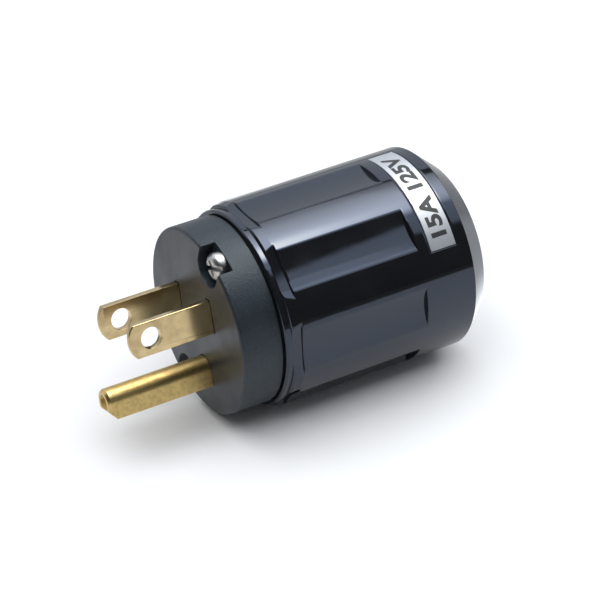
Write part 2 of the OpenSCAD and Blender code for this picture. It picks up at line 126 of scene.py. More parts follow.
class PlugHousingSettings(bpy.types.PropertyGroup):
    """Shape of the gloss housing; its radius and ends come from the solid."""

    lip_drop: length("Lip drop", "Depth of the lip below the round", 0.8)
    lip_len: length("Lip length", "Length of the front lip along the axis", 1.3)
    lip_round: length("Lip rounding", "Rounding of the lip and the shoulder behind it", 0.45)
    band_drop: length("Band drop", "Fall of the tapered front band to the lip", 0.3)
    band_land: length("Band land", "Plain round between the front band and the flats", 0.2)
    facet_depth: length("Facet depth", "Depth of a front facet at its middle", 1.1)
    facet_hollow_r: length("Facet hollow", "Radius of the hollow across a facet", 38)
    flat_count: bpy.props.IntProperty(
        name="Grip flats", description="Number of grip flats", default=8, min=3, subtype="UNSIGNED")
    flat_start: length("Flat start", "Distance of the flats from the seam", 3.3)
    flat_depth: length("Flat depth", "Depth of a flat at its middle", 0.8)
    flat_hollow_r: length("Flat hollow", "Radius of the hollow across a flat", 22)
    rear_band: length("Rear band", "Round band between the flats and the chamfer", 10.25)
    chamfer_len: length("Chamfer length", "Length of the rear chamfer", 4.4)
    chamfer_depth: length("Chamfer depth", "Depth of the rear chamfer", 4)
    rear_round: length("Rear rounding", "Rounding between the chamfer and the rear face", 0.8)
    entry_r: length("Entry radius", "Radius of the cable entry", 8.5)
    entry_round: length("Entry rounding", "Rounding of the cable entry", 1)
    wall: length("Wall", "Wall round the front cavity", 3)
    shoulder_step: length("Shoulder step", "Step from the front cavity in to the wiring space", 1.3)
    rear_wall: length("Rear wall", "Thickness of the rear wall", 5.2)
    bay_clear: length("Bay play", "Room round the cord jaws", 0.2)
    boss_r: length("Boss radius", "Radius of an insert's boss", 3.3)
    boss_over: length("Boss reach", "Length of a boss past the shoulder", 1)
    hole_clear: length("Hole play", "Room round a screw in its hole", 0.25)
    edge_round: length("Edge rounding", "Rounding of the moulding's crisp edges", 0.14)
    crease: length("Crease", "Height over which a flat runs out", 0.14)
    plastic: colour("Plastic", "Colour of the polished moulding", (0.0115, 0.0125, 0.0145))
    sheen: colour("Sheen", "Tint of the polished moulding's reflections", (0.66, 0.77, 1.0))
    gloss: share("Roughness", "Roughness of the polished moulding", 0.045)


class PlugCarrierSettings(bpy.types.PropertyGroup):
    """Finish of the matte carrier and of the mouldings behind it."""

    edge_round: length("Edge rounding", "Rounding of notches and slots", 0.14)
    plastic: colour("Plastic", "Colour of the matte moulding", (0.012, 0.0165, 0.022))
    sheen: colour("Sheen", "Tint of the matte moulding's reflections", (0.8, 0.92, 1.0))
    face: colour("Face", "Colour of the smoother mating face", (0.027, 0.0285, 0.033))
    roughness: share("Roughness", "Roughness of the matte moulding", 0.47)
    grain: length("Grain", "Size of the moulded grain", 0.3)


class PlugContactSettings(bpy.types.PropertyGroup):
    """Finish of the brass contacts, the screws and the other metal."""

    blade_round: length("Blade rounding", "Rounding of a blade's edges", 0.22)
    rim_round: length("Rim rounding", "Rounding at the rim of a blade's hole", 0.08)
    pin_round: length("Pin rounding", "Rounding of the folded pin's edges", 0.15)
    screw_round: length("Screw rounding", "Rounding of a screw's edges", 0.1)
    brass: colour("Brass", "Colour of the contacts", (0.62, 0.475, 0.255))
    roughness: share("Roughness", "Roughness of the contacts", 0.15)
    pin_brass: colour("Pin brass", "Colour of the folded pin", (0.68, 0.5, 0.205))
    pin_roughness: share("Pin roughness", "Roughness of the folded pin", 0.37)
    nose_len: length("Nose length", "Length of the pin's bevelled nose", 0.55)
    nose_in: length("Nose bevel", "How far the nose draws in", 0.35)
    foot_len: length("Foot length", "Length of the rise of the pin's feet", 1.3)
    foot_rise: length("Foot rise", "Rise of the pin's feet at the nose", 0.87)
    nickel: colour("Nickel", "Colour of the plated screws", (0.62, 0.61, 0.59))
    ground: colour("Ground mark", "Colour of the ground screw", (0.10, 0.27, 0.08))


class PlugPlateSettings(bpy.types.PropertyGroup):
    """Silver plate on the housing and the rating printed on it."""

    gap: length("Gap", "Gap round the plate in its pocket", 0.15)
    edge_round: length("Edge rounding", "Rounding of the plate's edges", 0.07)
    silver: colour("Silver", "Colour of the brushed plate", (0.60, 0.62, 0.65))
    ink: colour("Ink", "Colour of the print", (0.022, 0.023, 0.026))
    rating: bpy.props.StringProperty(
        name="Rating", description="Plain electrical rating on the plate", default="15A 125V")
    letter_h: length("Letter height", "Height of the letters before they grow", 2.9)
    letter_bold: length("Letter weight", "Outward growth of the letters' strokes", 0.16)
    print_len: length("Print length", "Length of the print along the plate", 20.5)
    ink_t: length("Ink thickness", "Thickness of the print", 0.012)
    margin: length("Margin", "Bare end below the first letter", 2.2)


class PlugStageSettings(bpy.types.PropertyGroup):
    """Camera, softbox, wide light, room and floor."""

    aim: lengths("Aim", "Point that the camera looks at", 21.285, 0.0, -2.820)
    distance: length("Distance", "Distance of the camera from the aim", 482.12)
    azimuth: turn("Azimuth", "Camera's turn round the plug; 0 looks along +Y", -27.913)
    elevation: turn("Elevation", "Camera's height above the horizon", 31.925)
    roll: turn("Roll", "Camera's turn about its line of sight", -3.185)
    lens: bpy.props.FloatProperty(
        name="Lens", description="Focal length on a 36 mm sensor", default=156.67, unit="CAMERA")
    box_place: lengths("Softbox place", "Middle of the softbox", 167, 49, 700)
    box_size: lengths("Softbox size", "Size of the softbox along X and Y", 574, 778)
    box_frame: length("Softbox frame", "Width of the dark frame at its +Y end", 42)
    box_post: length("Softbox post", "Width of the dark post at the rear half of its +X end", 30)
    box_side: share("Softbox side", "Share of the light left beside its +X end", 0.7)
    box_rise: length("Softbox rise", "Length over which its light grows from the rear", 488)
    box_skirt: length("Softbox skirt", "Width of the dim skirt at its front", 75)
    box_fade: length("Softbox fade", "Width of the soft fall-off behind the skirt", 140)
    box_dim: share("Softbox dim", "Share of the light left in the skirt", 0.32)
    box_rear: level("Softbox rear", "Radiance at its rear", 2.0)
    box_front: level("Softbox front", "Radiance at its front", 7.2)
    hot: level("Hot spot", "Radiance that the softbox's hot spot adds", 11.5)
    hot_place: lengths("Hot spot place", "Place of the hot spot along X and Y", 275, -75)
    hot_size: lengths("Hot spot size", "Spread of the hot spot along X and Y", 42, 66)
    hot_tint: colour("Hot spot tint", "Tint of the hot spot", (1.0, 0.91, 0.72))
    sky: level("Sky", "Radiance of the wide light on matte surfaces", 2.35)
    sky_place: lengths("Sky place", "Middle of the wide light", 120, 60, 700)
    sky_size: lengths("Sky size", "Size of the wide light along X and Y", 1500, 1300)
    fill: level("Fill", "Radiance of the room on matte surfaces", 0.08)
    fill_side: level("Side fill", "Radiance added on matte surfaces from +X", 0.8)
    room: level("Room", "Radiance of the room's walls in reflections", 0.75)
    room_top: level("Room top", "Radiance gained in reflections up to its top", 1.2)
    room_tint: colour("Room tint", "Tint of the room in reflections", (0.85, 0.91, 1.0))
    flag_dark: share("Flag", "Share of the light that the dark side loses", 0.97)
    flag_top: level("Flag top", "Sine of the dark side's upper edge at x = 0", 1.478)
    flag_lean: level("Flag lean", "Fall of that edge towards +X", 1.8)
    flag_turn: share("Flag turn", "Turn of the dark side from -Y towards -X", 0.75)
    floor: share("Floor", "Brightness of the floor on matte surfaces", 0.4)
    floor_tint: colour("Floor tint", "Tint of the floor", (0.945, 0.968, 1.0))
    floor_seen: level("Floor seen", "Brightness of the floor to the camera", 1.02)
    # Painted light and shade on the floor in reflections: darker behind the plug and far to the front,
    # lighter close to its rear end.
    floor_gloss: level("Floor in gloss", "Brightness of the floor in reflections", 0.95)
    floor_back: share("Floor behind", "Share of that brightness behind the plug", 0.63)
    floor_rear: level("Floor at the rear", "Brightness added close to the plug's rear end", 1.0)
    floor_end: length("Floor end", "Distance to the front where its reflection ends", 250)
    floor_white: length("Floor white", "Distance from which the camera sees plain white", 300)


# Node trees

class Wire:
    """An output socket that takes part in expressions: each operator adds a Math node."""

    def __init__(self, nodes, socket):
        self.nodes = nodes
        self.socket = socket

    def math(self, operation, *values):
        return self.nodes.node("ShaderNodeMath", {"operation": operation}, dict(enumerate(values)))

    def __add__(self, other):
        return self.math("ADD", self, other)

    __radd__ = __add__

    def __sub__(self, other):
        return self.math("SUBTRACT", self, other)

    def __rsub__(self, other):
        return self.math("SUBTRACT", other, self)

    def __mul__(self, other):
        return self.math("MULTIPLY", self, other)

    __rmul__ = __mul__

    def __truediv__(self, other):
        return self.math("DIVIDE", self, other)

    def __pow__(self, other):
        return self.math("POWER", self, other)

    def __lt__(self, other):
        return self.math("LESS_THAN", self, other)

    def exp(self):
        return self.math("EXPONENT", self)


class Nodes:
    """The node tree of one finish."""

    def __init__(self, tree):
        self.tree = tree
        tree.nodes.clear()

    def node(self, kind, settings=None, sockets=None, out=0):
        """Adds a node: its settings, then its sockets' values or links; gives one output."""
        made = self.tree.nodes.new(kind)
        for key, value in (settings or {}).items():
            setattr(made, key, value)
        for key, value in (sockets or {}).items():
            if isinstance(value, Wire):
                self.tree.links.new(value.socket, made.inputs[key])
            else:
                made.inputs[key].default_value = value
        return Wire(self, made.outputs[out]) if made.outputs else None

    def place(self):
        """Place in the frame of the solids."""
        return self.node("ShaderNodeTexCoord", out="Object")

    def axes(self, vector):
        """The three parts of a vector."""
        return [self.node("ShaderNodeSeparateXYZ", sockets={0: vector}, out=i) for i in range(3)]

    def vector(self, x, y, z):
        return self.node("ShaderNodeCombineXYZ", sockets={0: x, 1: y, 2: z})

    def stretch(self, vector, by):
        return self.node("ShaderNodeVectorMath", {"operation": "MULTIPLY"}, {0: vector, 1: by})

    def grow(self, vector, by):
        return self.node("ShaderNodeVectorMath", {"operation": "SCALE"}, {0: vector, "Scale": by})

    def noise(self, vector, size, detail=2.0):
        """Noise from 0 to 1 in clouds of about that size."""
        return self.node("ShaderNodeTexNoise", None,
                         {"Vector": vector, "Scale": 1 / size, "Detail": detail, "Roughness": 0.55})

    def ramp(self, value, low, high, first=0.0, last=1.0):
        """Runs from first to last, eased, as the value goes from low to high."""
        return self.node("ShaderNodeMapRange", {"interpolation_type": "SMOOTHSTEP"},
                         {"Value": value, "From Min": low, "From Max": high,
                          "To Min": first, "To Max": last})

    def mix(self, factor, a, b):
        """Colour between a and b."""
        return self.node("ShaderNodeMix", {"data_type": "RGBA"}, {0: factor, 6: a, 7: b}, out=2)

    def tones(self, factor, rgb, first, last):
        """Colour between two tones of one colour."""
        return self.mix(factor, shade(rgb, first), shade(rgb, last))

    def bump(self, height, distance):
        """Normal of a height, where 1 stands for that distance."""
        return self.node("ShaderNodeBump", None, {"Height": height, "Distance": distance})

    def ray(self, kind):
        """1 on rays of that kind and 0 on all others."""
        return self.node("ShaderNodeLightPath", out=f"Is {kind} Ray")

    def glow(self, rgb, strength=1.0):
        """Emission of that colour."""
        return self.node("ShaderNodeEmission", None, {"Color": rgb, "Strength": strength})

    def output(self, shader):
        """Makes a shader the surface of the material."""
        self.node("ShaderNodeOutputMaterial", None, {"Surface": shader})

    def surface(self, **sockets):
        """Principled surface; an underscore in a socket's name stands for a space."""
        self.output(self.node("ShaderNodeBsdfPrincipled", None,
                              {key.replace("_", " "): value for key, value in sockets.items()}))


def shade(rgb, by=1.0):
    """Linear colour for a socket, made brighter or darker."""
    return (*(part * by for part in rgb), 1.0)


# Finishes, one for each material slot

def gloss_moulding(n, look, place):
    """Polished black plastic with waves and ripples from the mould, and handling marks."""
    film = n.ramp(n.noise(place, 9 * MM, 3.0), 0.42, 0.7)
    waves = n.noise(n.stretch(place, (0.5, 1.0, 1.0)), 5 * MM)
    ripples = n.noise(n.stretch(place, (0.15, 1.0, 1.0)), 1.3 * MM, 3.0)
    n.surface(
        Base_Color=n.tones(film, look.plastic, 1.0, 1.25), Roughness=look.gloss + film * 0.035,
        IOR=1.64, Specular_Tint=shade(look.sheen), Normal=n.bump(waves + ripples * 0.35, 0.012 * MM))


def matte_moulding(n, look, place, by=1.0):
    """Dark grained plastic, a little polished by handling, with a smoother front face."""
    grain = n.noise(place, look.grain, 3.0)
    worn = n.noise(place, 6 * MM, 3.0)
    tone = n.ramp(grain * 0.6 + worn * 0.4, 0.3, 0.7)
    face = n.ramp(n.axes(place)[0], 0.1 * MM, 0.4 * MM, 1.0, 0.0)
    body = n.tones(tone, look.plastic, 0.5 * by, 1.5 * by)
    n.surface(
        Base_Color=n.mix(face, body, shade(look.face, by)), IOR=1.55, Specular_Tint=shade(look.sheen),
        Roughness=look.roughness + n.ramp(worn, 0.3, 0.7, -0.04, 0.06) - face * 0.08,
        Normal=n.bump(grain * (1 - face * 0.5), 0.08 * MM))


def block_moulding(n, look, place):
    """The wiring block's plastic, a little lighter than the carrier's."""
    matte_moulding(n, look, place, 1.5)


def jaw_moulding(n, look, place):
    """The cord jaws' plastic, a little darker than the carrier's."""
    matte_moulding(n, look, place, 0.8)


def drawn_brass(n, place, brass, roughness, spots):
    """Drawn brass: fine streaks along it, and a thin tarnish in spots of that size."""
    streaks = n.noise(n.stretch(place, (0.04, 1.0, 1.0)), 0.16 * MM, 3.0)
    tarnish = n.ramp(n.noise(place, spots, 4.0), 0.35, 0.7)
    body = n.tones(streaks, brass, 0.93, 1.06)
    n.surface(
        Base_Color=n.mix(tarnish * 0.5, body, shade(brass, 0.6)), Metallic=1.0,
        Roughness=roughness + streaks * 0.08 + tarnish * 0.05, Normal=n.bump(streaks, 0.0015 * MM))


def satin_brass(n, look, place):
    """Brass of the two blades."""
    drawn_brass(n, place, look.brass, look.roughness, 2.5 * MM)


def dull_brass(n, look, place):
    """Brass of the folded pin, duller and yellower than the blades."""
    drawn_brass(n, place, look.pin_brass, look.pin_roughness, 0.9 * MM)


def turned_brass(n, look, place):
    """Turned brass of the inserts and the live terminal's screw."""
    rings = n.noise(n.stretch(place, (1.0, 0.1, 0.1)), 0.2 * MM)
    n.surface(
        Base_Color=n.tones(rings, look.brass, 0.85, 1.05), Metallic=1.0,
        Roughness=0.24 + rings * 0.12, Normal=n.bump(rings, 0.002 * MM))


def bright_nickel(n, look, place):
    """Bright plate with small stains and fine scuffs."""
    stains = n.noise(place, 1.2 * MM, 4.0)
    scuffs = n.noise(n.stretch(place, (1.0, 0.15, 1.0)), 0.12 * MM)
    n.surface(
        Base_Color=n.tones(n.ramp(stains, 0.4, 0.75), look.nickel, 1.0, 0.82), Metallic=1.0,
        Roughness=0.3 + stains * 0.14 + scuffs * 0.06, Normal=n.bump(scuffs, 0.001 * MM))


def ground_green(n, look, place):
    """Green marking on the ground terminal's screw, thin at the high spots."""
    thin = n.noise(place, 0.8 * MM, 3.0)
    n.surface(
        Base_Color=n.tones(n.ramp(thin, 0.5, 0.75), look.ground, 1.0, 1.5), Metallic=0.6,
        Roughness=0.35 + thin * 0.15, Normal=n.bump(thin, 0.003 * MM))


def brushed_silver(n, look, place):
    """Silver plate brushed along its arc."""
    x, y, z = n.axes(place)
    arc = y.math("ARCTAN2", y, z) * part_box("housing_shell")[1].y
    lines = n.noise(n.vector(x, arc * 0.02, 0.0), 0.07 * MM, 3.0)
    cloud = n.noise(place, 3 * MM)
    n.surface(
        Base_Color=n.tones(lines, look.silver, 0.9, 1.04), Metallic=0.85,
        Roughness=0.44 + lines * 0.1 + cloud * 0.06, Normal=n.bump(lines, 0.0015 * MM))


def dark_ink(n, look, place):
    """Dense dark print with a slight mottle."""
    mottle = n.noise(place, 0.25 * MM, 3.0)
    n.surface(
        Base_Color=n.tones(mottle, look.ink, 0.8, 1.5),
        Roughness=0.42 + mottle * 0.15, Normal=n.bump(mottle, 0.001 * MM))


FINISHES = {
    "housing_gloss": ("plug_housing", gloss_moulding),
    "carrier_plastic": ("plug_carrier", matte_moulding),
    "block_plastic": ("plug_carrier", block_moulding),
    "jaw_plastic": ("plug_carrier", jaw_moulding),
    "contact_brass": ("plug_contacts", satin_brass),
    "pin_brass": ("plug_contacts", dull_brass),
    "fitting_brass": ("plug_contacts", turned_brass),
    "screw_nickel": ("plug_contacts", bright_nickel),
    "ground_green": ("plug_contacts", ground_green),
    "nameplate_silver": ("plug_plate", brushed_silver),
    "plate_ink": ("plug_plate", dark_ink),
}


def finish(name):
    """The material of a finish, made once."""
    title = "finish." + name
    material = bpy.data.materials.get(title)
    if material is None:
        material = bpy.data.materials.new(title)
        material.use_nodes = True
        n = Nodes(material.node_tree)
        group, paint = FINISHES[name]
        paint(n, getattr(bpy.context.scene, group), n.place())
    return material


# Pieces

def add_object(name, mesh, material=None):
    """New object of a mesh or other data in the scene."""
    made = bpy.data.objects.new(name, mesh)
    bpy.context.scene.collection.objects.link(made)
    if material:
        mesh.materials.clear()
        mesh.materials.append(material)
    return made


def slot_of(node):
    """Material slot that the record gives a node."""
    return next(part["material_slot"] for part in frame["record"]["subparts"] if part["node"] == node)


def add_piece(name, mesh, node, finish_name=None, replaced=True):
    """New piece on the plug, in the slot of a node of the solids, which it may replace."""
    slot = slot_of(node)
    piece = add_object(name, mesh, finish(finish_name or slot))
    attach(piece, BODY)
    if replaced:
        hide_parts(node)
    return piece


def bare_mesh(bm, name):
    """Mesh of a bmesh, which is freed."""
    mesh = bpy.data.meshes.new(name)
    bm.to_mesh(mesh)
    bm.free()
    return mesh


def mesh_from(bm, name, sharp):
    """Smooth mesh of a bmesh, whose edges are sharp above an angle."""
    mesh = bare_mesh(bm, name)
    custom = mesh.attributes.get("custom_normal")
    if custom:
        mesh.attributes.remove(custom)
    mesh.polygons.foreach_set("use_smooth", [True] * len(mesh.polygons))
    mesh.set_sharp_from_angle(angle=sharp)
    return mesh


def is_sharp(edge):
    """Whether an edge of the solid is one that gets rounded."""
    return edge.is_manifold and edge.calc_face_angle() > SHARP


def is_rim(edge):
    """Whether a sharp edge is the rim of a hole: the wall beside it curves inwards."""
    wall = min(edge.link_faces, key=lambda face: face.calc_area())
    for side in wall.edges:
        if side.is_manifold and not is_sharp(side):
            after = next(face for face in side.link_faces if face != wall)
            apart = after.calc_center_median() - wall.calc_center_median()
            return apart.dot(after.normal - wall.normal) < 0
    return False


def even_normals(piece):
    """Lets a piece's large faces set its normals beside rounded edges."""
    even = piece.modifiers.new("even_normals", "WEIGHTED_NORMAL")
    even.keep_sharp = True


def cut_across(bm, x, clear=False):
    """Cuts a bmesh across X, and may clear what lies in front; gives what the cut made."""
    return bmesh.ops.bisect_plane(
        bm, geom=[*bm.verts, *bm.edges, *bm.faces], dist=TOUCH, clear_inner=clear,
        plane_co=(x, 0, 0), plane_no=(1, 0, 0))["geom_cut"]


def verts_and_edges(items):
    """The points among some items of a bmesh, and the edges."""
    return [[item for item in items if isinstance(item, kind)]
            for kind in (bmesh.types.BMVert, bmesh.types.BMEdge)]


def coined_nose(bm, s):
    """Cuts off the end of the folded pin and grows a bevelled nose in its place."""
    tip = min(v.co.x for v in bm.verts)
    sound = tip + 3 * s.foot_len  # behind the nose of the solid
    points, edges = verts_and_edges(cut_across(bm, sound, clear=True))
    leg = max(edges, key=lambda edge: edge.calc_length())
    top, end = sorted((v.co for v in leg.verts), key=lambda co: -co.z)
    axis, up = Vector((1, 0, 0)), (top - end).normalized()
    across = up.cross(axis)
    section = [(v.co.dot(across), v.co.dot(up)) for v in points]
    left, right = min(u for u, _ in section), max(u for u, _ in section)
    half, centre = (right - left) / 2, (right + left) / 2
    middle = max(w for _, w in section) - half
    foot = min(w for _, w in section)
    inner = min(abs(u - centre) for u, w in section if w < middle)
    end_rise = s.foot_rise * (1 + s.nose_len / (s.foot_len - s.nose_len))
    stations = ((s.foot_len, 0.0, 0.0), (s.nose_len, 0.0, s.foot_rise), (0.0, s.nose_in, end_rise))
    for x, bevel, rise in stations:
        points, edges = verts_and_edges(bmesh.ops.extrude_edge_only(bm, edges=edges)["geom"])
        edges = [edge for edge in edges if len(edge.link_faces) == 1]
        for v in points:
            u, w = v.co.dot(across) - centre, v.co.dot(up)
            arch = max(w - middle, 0.0)
            if hypot(u, arch) > (half + inner) / 2:
                u, w = u * (1 - bevel / half), w - arch * bevel / half
            v.co = axis * (tip + x) + across * (centre + u) + up * max(w, foot + rise)
    bmesh.ops.contextual_create(bm, geom=edges)
    bmesh.ops.recalc_face_normals(bm, faces=bm.faces)


def rounded_piece(name, node, edge, segments=3, rim=None, reshape=None, finish_name=None):
    """Piece made from a node's solid, with its sharp edges rounded."""
    bm = bmesh.new()
    bm.from_mesh(frame["nodes"][node].data)
    bmesh.ops.remove_doubles(bm, verts=bm.verts, dist=WELD)
    bmesh.ops.dissolve_limit(bm, angle_limit=radians(0.5), verts=bm.verts, edges=bm.edges)
    if reshape:
        reshape(bm)
    sharp = [e for e in bm.edges if is_sharp(e)]
    rims = [e for e in sharp if rim and is_rim(e)]
    for edges, offset in ((rims, rim), ([e for e in sharp if e not in rims], edge)):
        bmesh.ops.bevel(
            bm, geom=[e for e in edges if e.is_valid], offset=offset or 0, offset_type="OFFSET",
            segments=segments, profile=0.5, affect="EDGES", clamp_overlap=True, miter_outer="ARC")
    even_normals(add_piece(name, mesh_from(bm, name, radians(50)), node, finish_name))


def join_rings(bm, rings, capped):
    """Joins each ring of points to the next, with flat ends or on from the last to the first."""
    made = [[bm.verts.new(point) for point in ring] for ring in rings]
    for ring, after in zip(made, made[1:] if capped else made[1:] + made[:1]):
        for j in range(len(ring)):
            k = (j + 1) % len(ring)
            bm.faces.new((ring[j], ring[k], after[k], after[j]))
    if capped:
        bm.faces.new(made[0][::-1])
        bm.faces.new(made[-1])
    bmesh.ops.recalc_face_normals(bm, faces=bm.faces)
    return bm


def wrapped(angle, whole=tau):
    """The same angle, between minus and plus half of the whole."""
    return (angle + whole / 2) % whole - whole / 2


def polar(x, r, angle):
    """Point at a place along the axis, a radius and an angle from the top towards -Y."""
    return Vector((x, -r * sin(angle), r * cos(angle)))


def corner_arc(a, p, b, r, steps=6):
    """Points of the corner p between a and b, cut to an arc of radius r."""
    p = Vector(p)
    u, w = (Vector(a) - p).normalized(), (Vector(b) - p).normalized()
    half = u.angle(w) / 2
    centre = p + (u + w).normalized() * r / sin(half)
    start, end = p + u * r / tan(half), p + w * r / tan(half)
    rays = [start.lerp(end, i / steps) - centre for i in range(steps + 1)]
    return [tuple(centre + ray.normalized() * r) for ray in rays]


def beside(point, towards, step):
    """A point one step along the way to another, or none where the way is short."""
    way = Vector(towards) - Vector(point)
    return [tuple(Vector(point) + way.normalized() * step)] if way.length > 6 * step else []


def soft_min(a, b, width):
    """The lesser of two heights, rounded where they cross."""
    near = max(width - abs(a - b), 0.0) / width
    return min(a, b) - near * near * width / 4


def edge_dip(distance, r):
    """Fall of a rounded edge at that distance from its wall."""
    away = r - min(distance, r)
    return r - sqrt(r * r - away * away)


def thinned(marks, least):
    """Sorted marks, each at least that far from the one before."""
    kept = []
    for mark in sorted(marks):
        if not kept or mark - kept[-1] > least:
            kept.append(mark)
    return kept


class Hollow:
    """Hollow along the housing, by its middle's distance from the axis and its own radius."""

    def __init__(self, middle, own):
        self.own = own
        self.away = middle + own

    def half(self, r):
        """Angle from its middle to where it runs out into a round of radius r."""
        return acos((self.away ** 2 + r ** 2 - self.own ** 2) / (2 * self.away * r))

    def radius(self, t):
        """Distance of the hollow from the axis, at an angle from its middle."""
        return self.away * cos(t) - sqrt(self.own ** 2 - (self.away * sin(t)) ** 2)


class HousingForm:
    """Shape of the housing: rings of points along its wall, outside and back inside."""

    near = (0.05, 0.18, 0.4, 0.7, 1.0)  # steps across a rounded edge
    step = radians(2.0)  # between grid lines round the body
    spacing = 2.2 * MM  # between even grid lines along the body
    clear = 0.5 * MM  # least room between an even grid line and one at a wall

    def __init__(self, s, plate):
        low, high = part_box("housing_shell")
        self.s = s
        self.r = (high.y - low.y) / 2
        self.front, self.rear = low.x, high.x
        self.lip_x = self.front + s.lip_len
        self.flat_x0 = self.front + s.flat_start
        self.chamfer_x = self.rear - s.chamfer_len
        self.flat_x1 = self.chamfer_x - s.rear_band
        self.bay_x1 = self.rear - s.rear_wall
        self.pitch = tau / s.flat_count
        self.flat = Hollow(self.r - s.flat_depth, s.flat_hollow_r)
        self.facet = Hollow(self.r - s.facet_depth, s.facet_hollow_r)
        self.plate = PlateForm(plate)
        jaw_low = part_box("cord_jaw_drawn")[0]
        jaw_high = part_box("cord_jaw_seated")[1]
        self.bay_x0 = jaw_low.x - s.bay_clear
        self.bay_y0, self.bay_y1 = jaw_low.y - s.bay_clear, jaw_high.y
        self.bay_z = jaw_high.z + s.bay_clear
        self.boss_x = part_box("upper_insert")[0].x
        self.shoulder_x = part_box("wiring_block")[1].x + s.bay_clear / 2
        middle = sum(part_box("upper_insert"), Vector()) / 2
        self.screw_r, self.screw_turn = hypot(middle.y, middle.z), atan2(-middle.y, middle.z)

    def outside(self, angle, x, r):
        """Radius of the outside, where the turned profile has radius r."""
        s = self.s
        t = wrapped(angle, self.pitch)
        facet = soft_min(r, self.facet.radius(t), s.crease)
        flat = soft_min(r, self.flat.radius(t), s.crease)
        if x < self.lip_x or x > self.chamfer_x:
            return r
        if x < self.flat_x0:
            return facet
        if x < self.flat_x1:
            return max(facet, flat - edge_dip(x - self.flat_x0, s.edge_round))
        r = max(flat, r - edge_dip(x - self.flat_x1, s.edge_round))
        away = self.plate.distance(angle, x, self.r)
        floor = self.plate.floor
        return floor if away < 0 else max(floor, r - edge_dip(away, s.edge_round))

    @staticmethod
    def round(_angle, _x, r):
        """Radius of a plain round."""
        return r

    def boss(self, angle, _x, r):
        """Radius of the inside where it runs round the two bosses."""
        for side in (0.0, pi):
            t = wrapped(angle - self.screw_turn - side)
            aside = self.screw_r * sin(t)
            if abs(t) < pi / 2 and abs(aside) < self.s.boss_r:
                r = min(r, self.screw_r * cos(t) - sqrt(self.s.boss_r ** 2 - aside ** 2))
        return r

    def bay(self, angle, _x, _r):
        """Radius of the square bay of the cord jaws."""
        y, z = -sin(angle), cos(angle)
        half_y = self.bay_y1 if y > 0 else -self.bay_y0
        return min(half_y / max(abs(y), HAIR), self.bay_z / max(abs(z), HAIR))

    def shifted(self, angle, x, r):
        """Angle of a grid line, drawn in with the facets' edges on the front band."""
        if not self.lip_x < x < self.flat_x0 or r < self.r - self.s.lip_drop:
            return angle
        t = wrapped(angle, self.pitch)
        full, here, land = self.facet.half(self.r), self.facet.half(r), self.pitch / 2
        if abs(t) < full:
            return angle - t + t * here / full
        return angle - t + copysign(land - (land - abs(t)) * (land - here) / (land - full), t)

    def angles(self):
        """Angles of the grid, close together at the edges of flats, facets and plate."""
        s = self.s
        edges = [k * self.pitch + side * half for k in range(s.flat_count)
                 for side in (-1, 1) for half in (self.flat.half(self.r), self.facet.half(self.r))]
        edges += [atan2(-y, z) for y in (self.bay_y0, self.bay_y1) for z in (-self.bay_z, self.bay_z)]
        steps = [radians(d) for d in (0.0, 0.2, 0.45, 0.75, 1.1, 1.5)]
        marks = [edge + side * d for edge in edges for d in steps for side in (-1, 1)]
        hair = HAIR / self.r
        for end, out in ((self.plate.turn0, -1), (self.plate.turn1, 1)):
            marks += [end + out * d * s.edge_round / self.r for d in (0.0, *self.near)]
            marks += [end - out * d for d in (hair, 8 * hair, radians(0.3))]
        count = round(tau / self.step)
        clear = self.step / 4
        marks = [mark % tau for mark in marks]
        marks += [k * self.step for k in range(count)
                  if all(abs(wrapped(k * self.step - mark)) > clear for mark in marks)]
        return thinned(marks, hair / 2)

    def band_lines(self):
        """Places along the round part of the outside, close together at each wall."""
        s = self.s
        rounds = [d * s.edge_round for d in self.near]
        lines = []
        for wall, up in ((self.flat_x0, 1), (self.flat_x1, 1), (self.plate.x0, -1), (self.plate.x1, 1)):
            lines += [wall + up * d for d in (0.0, *rounds, 3 * s.edge_round)]
            lines += [wall - up * d for d in (HAIR, 10 * HAIR, s.edge_round, 4 * s.edge_round)]
        start, end = self.flat_x0, self.chamfer_x - s.edge_round
        count = round((end - start) / self.spacing)
        even = [start + (end - start) * i / count for i in range(1, count)]
        lines += [x for x in even if all(abs(x - line) > self.clear for line in lines)]
        return thinned([x for x in lines if x > self.flat_x0 - s.band_land / 2], HAIR / 2)

    def profile(self):
        """Turned profile of the outside, (x, radius), from the front cavity round to the bay."""
        s, r = self.s, self.r
        cavity, lip, chamfer = r - s.wall, r - s.lip_drop, r - s.chamfer_depth
        corners = [
            (self.front, cavity, s.edge_round), (self.front, lip, s.lip_round),
            (self.lip_x, lip, s.edge_round / 3), (self.lip_x + HAIR, r - s.band_drop, s.lip_round),
            (self.flat_x0 - s.band_land, r, s.edge_round), (self.chamfer_x, r, s.edge_round),
            (self.rear, chamfer, s.rear_round), (self.rear, s.entry_r, s.entry_round),
        ]
        ends = [(self.bay_x0, cavity), *(c[:2] for c in corners), (self.bay_x1, s.entry_r)]
        points = []
        for i, (x, radius, rounding) in enumerate(corners):
            last, after = ends[i], ends[i + 2]
            arc = corner_arc(last, (x, radius), after, rounding)
            points += [*beside(arc[0], last, s.edge_round), *arc, *beside(arc[-1], after, s.edge_round)]
            if radius == r and x < self.chamfer_x:
                points += [(line, r) for line in self.band_lines()]
        return points

